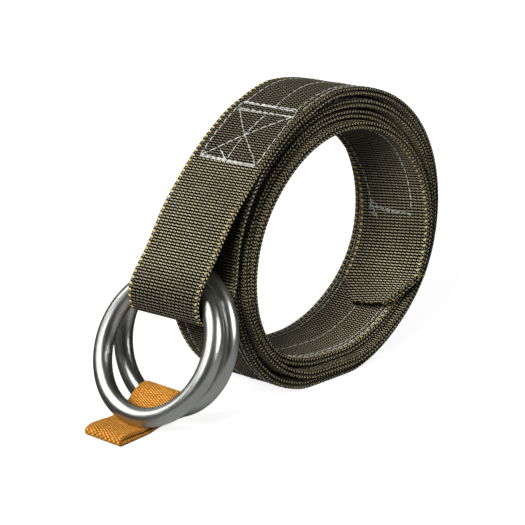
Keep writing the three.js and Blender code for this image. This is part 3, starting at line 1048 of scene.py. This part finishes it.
# %% Orange webbing
def make_orange_webbing():
    """Deep, mid and pale orange by the crest of each crossing, from painted shade in the gaps
    to a painted highlight on the crests, times a shade of 0.66 plus 0.2 of the patches plus
    0.36 of the crossing's own chance."""
    material, tree, shader = new_material(
        "orange webbing", 0.6, Sheen_Weight=0.02, Sheen_Tint=(1.0, 0.8, 0.5),
        Specular_IOR_Level=0.2,
    )
    calc = calculator(tree)
    s, u = weave_place(tree)
    rows = place_group(
        tree, woven_rows, Along=s, Across=u, Rib=TAB_RIB, Yarn=TAB_YARN, Slant=0.12, Stagger=0.5,
        Bridge=0.0, Gap=0.6,
    )
    drift = place_group(tree, patches, Broad=90.0, Fine=900.0)["Patch"]
    # Painted shade in the gaps and a painted highlight on the crests.
    deep, mid, pale = (0.44, 0.12, 0.008), (0.78, 0.29, 0.022), (1.0, 0.62, 0.12)
    lower = blend_colours(tree, smooth_step(tree, rows["Crest"], 0.0, 0.45), deep, mid)
    colour = blend_colours(tree, smooth_step(tree, rows["Crest"], 0.5, 1.0), lower, pale)
    shade = calc("MULTIPLY_ADD", drift, 0.2, 0.66)
    shade = calc("MULTIPLY_ADD", rows["Chance"], 0.36, shade)
    colour = blend_colours(tree, 1.0, colour, shade, "MULTIPLY")
    wire(tree, shader, rows["Height"], 0.12, Base_Color=colour)
    return material


# %% Finishes onto pieces
def finish_with(piece, material):
    """Gives a piece one material for all its faces."""
    piece.data.materials.clear()
    piece.data.materials.append(material)


olive = make_olive_webbing()
thread = make_thread("sewing thread", (0.60, 0.61, 0.55), (0.92, 0.93, 0.88))
rubbed = make_thread("rubbed sewing thread", (0.24, 0.25, 0.22), (0.58, 0.60, 0.55))
steel = make_polished_steel()
frayed = make_thread(  # golden tracer yarn, with olive between
    "frayed filaments", (0.14, 0.11, 0.05), (0.66, 0.46, 0.15),
    roughness=0.5, sheen=0.15, broad=300.0, fine=1500.0, bump=0.04,
)
PIECES = (  # with its material, the solid that it stands for, and its finish in the record
    (belt_webbing, olive, "webbing", "belt_webbing"),
    (outer_stitches, thread, None, None),
    (inner_stitches, thread, None, None),
    (tip_bar_stitches, rubbed, None, None),
    (tip_fray, frayed, None, None),
    (rings["ring_front"], steel, "ring_front", "ring_steel"),
    (rings["ring_back"], steel, "ring_back", "ring_steel"),
    (pull_tab, make_orange_webbing(), "pull_tab", "tab_webbing"),
)
for piece, material, _, _ in PIECES:
    finish_with(piece, material)
print("materials:", [m.name for m in bpy.data.materials])

# %% [markdown]
# ## Floor and light
#
# The belt stands on a white table. The table glows of its own, which is how a lit sweep
# looks, and keeps the shadows soft and pale. A big softbox on the left and a bit in front
# lights the cloth, a weak one on the right opens the shadows, and one behind draws the far
# rims. Steel shows the lights themselves, so it gets three of its own, as a photographer
# would hold up white cards: one over the back, a tall one on the left and a smaller one on
# the right. They leave matt surfaces alone. The room beyond is dim, as steel has to show
# dark things too.

# %% The floor
def make_table_white():
    """White where the camera sees it directly, and a plain grey table for all other light. In
    the steel it is painted pale in front of the rings, with a painted shadow behind them
    and a painted fall-off of light far from them, as a table would be away from its lamps.
    A shader mix by camera ray and a colour mix by glossy ray do that. The white glows more
    where it lies far out, beyond the lamps."""
    material, tree, seen = new_material("table white", 0.9)
    calc = calculator(tree)
    on_table = add_node(tree, "TexCoord").outputs["Object"]
    x, y, _ = add_node(tree, "SeparateXYZ", Vector=on_table).outputs
    outwards = add_node(tree, "VectorMath")
    outwards.operation = "LENGTH"
    feed(tree, outwards.inputs[0], on_table)
    far_out = smooth_step(tree, outwards.outputs["Value"], 0.2, 0.9)
    feed_all(
        tree, seen, Base_Color=(0.5, 0.5, 0.5), Emission_Color=(1.0, 1.0, 1.0),
        Emission_Strength=calc("MULTIPLY_ADD", far_out, 0.16, 0.845),
    )
    behind = smooth_step(tree, y, -0.018, 0.006)
    aside = calc("ABSOLUTE", calc("ADD", x, 0.09))
    painted_shadow_and_falloff = calc("MAXIMUM", behind, smooth_step(tree, aside, 0.05, 0.25))
    ray = add_node(tree, "LightPath").outputs
    # Painted in the steel: a pool of light in front of the rings, and a shadow behind them and
    # beyond them.
    in_steel = blend_colours(tree, painted_shadow_and_falloff, (0.45, 0.45, 0.45), (0.07, 0.07, 0.07))
    shade = blend_colours(tree, ray["Is Glossy Ray"], (0.22, 0.22, 0.22), in_steel)
    felt = add_node(tree, "BsdfDiffuse", Color=shade)
    mix = add_node(tree, "MixShader")
    for socket, value in zip(mix.inputs, (ray["Is Camera Ray"], felt.outputs[0], seen.outputs[0])):
        feed(tree, socket, value)
    feed_all(tree, tree.nodes["Material Output"], Surface=mix.outputs[0])
    return material


TABLE_REACH = 40000.0  # so far that a low view doesn't look past its end
table = add_piece(
    "table", TABLE_REACH * np.array([[-1, -1, 0], [1, -1, 0], [1, 1, 0], [-1, 1, 0]]),
    [[0, 1, 2, 3]],
)
finish_with(table, make_table_white())


# %% The lights
def softbox(name, place, size, watts, lengthways=(0, 0, 1), aim=(-0.02, 0.0, 0.06)):
    """A rectangular area light at a place, its face turned to the aim and its first size
    laid along `lengthways` as nearly as that allows."""
    light = bpy.data.lights.new(name, "AREA")
    light.shape = "RECTANGLE"
    light.size, light.size_y = size
    light.energy = watts
    lamp = bpy.data.objects.new(name, light)
    bpy.context.scene.collection.objects.link(lamp)
    back = (Vector(place) - Vector(aim)).normalized()
    up = back.cross(Vector(lengthways)).normalized()
    turned = Matrix((up.cross(back), up, back)).transposed().to_4x4()
    lamp.matrix_world = Matrix.Translation(place) @ turned
    return lamp


for lamp in (
    softbox("key", (-1.03, -0.38, 0.7), (0.6, 0.5), 17.0),
    softbox("fill", (0.98, -0.78, 0.5), (0.6, 0.3), 3.4),
    softbox("rim", (0.75, 0.95, 0.6), (0.8, 0.5), 5.0),
):
    lamp.visible_glossy = False
for card in (
    softbox("back card", (-0.58, 0.62, 0.89), (0.62, 1.08), 7.8, (0.73, 0.68, 0)),
    softbox("left card", (-0.85, 0.09, 0.82), (0.42, 0.95), 5.6, (0, 1, 0)),
    softbox("right card", (0.31, -0.91, 0.58), (0.62, 0.55), 6.8),
):
    card.visible_diffuse = False

world = bpy.data.worlds.new("dim room")
world.use_nodes = True
feed_all(
    world.node_tree, world.node_tree.nodes["Background"], Color=(1.0, 1.0, 1.0), Strength=0.025
)
scene = bpy.context.scene
scene.world = world
scene.view_settings.view_transform = "Standard"

# %% [markdown]
# ## What belongs to what
#
# Every piece is attached to the body it moves with, and the solid of the imported model
# that it stands for is hidden. The two straps are cloth.

# %% Bodies, and the nodes that the pieces stand for
for piece, _, solid, finish in PIECES:
    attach(piece, "root")
    if solid:
        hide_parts(solid)
